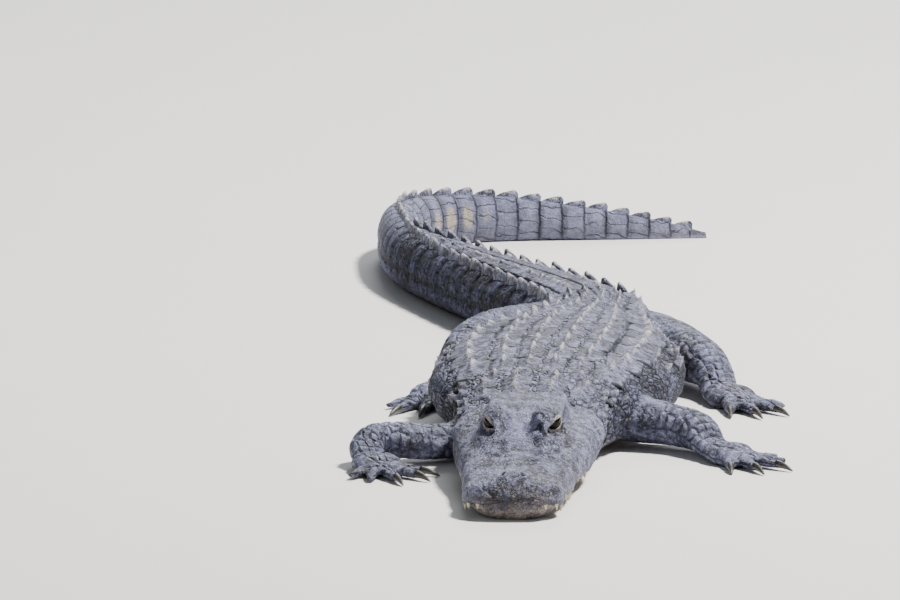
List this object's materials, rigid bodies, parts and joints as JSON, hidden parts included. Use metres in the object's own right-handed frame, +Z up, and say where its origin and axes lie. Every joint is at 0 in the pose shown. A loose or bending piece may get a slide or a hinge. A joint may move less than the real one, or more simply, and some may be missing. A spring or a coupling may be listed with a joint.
{
  "type": "american alligator",
  "caption": "American alligator lying on its belly, head low and level, mouth closed, legs spread and long crested tail bent to one side; a still life-size model.",
  "frame": {"origin": "centre of the flat of the belly on the floor, below the middle of the trunk", "axes": "+Z up, -Y toward the head, +Y toward the tail, +X toward the animal's left; the tail's end bends toward +X"},
  "size_m": [0.5398, 1.9712, 0.1212],
  "materials": {
    "hide": "satin",
    "belly_hide": "satin",
    "eye": "gloss",
    "claw": "satin"
  },
  "bodies": {
    "root": {"head": "hide", "lower_jaw": "belly_hide", "eye_left": "eye", "eye_right": "eye", "neck": "hide", "torso": "hide", "pelvis": "hide", "tail_1": "hide", "tail_2": "hide", "tail_3": "hide", "tail_4": "hide", "tail_5": "hide", "upper_arm_right": "hide", "forearm_right": "hide", "forefoot_right": "hide", "claw_forefoot_right_1": "claw", "claw_forefoot_right_2": "claw", "claw_forefoot_right_3": "claw", "upper_arm_left": "hide", "forearm_left": "hide", "forefoot_left": "hide", "claw_forefoot_left_1": "claw", "claw_forefoot_left_2": "claw", "claw_forefoot_left_3": "claw", "thigh_right": "hide", "shank_right": "hide", "hindfoot_right": "hide", "claw_hindfoot_right_1": "claw", "claw_hindfoot_right_2": "claw", "claw_hindfoot_right_3": "claw", "thigh_left": "hide", "shank_left": "hide", "hindfoot_left": "hide", "claw_hindfoot_left_1": "claw", "claw_hindfoot_left_2": "claw", "claw_hindfoot_left_3": "claw"}
  },
  "joints": []
}
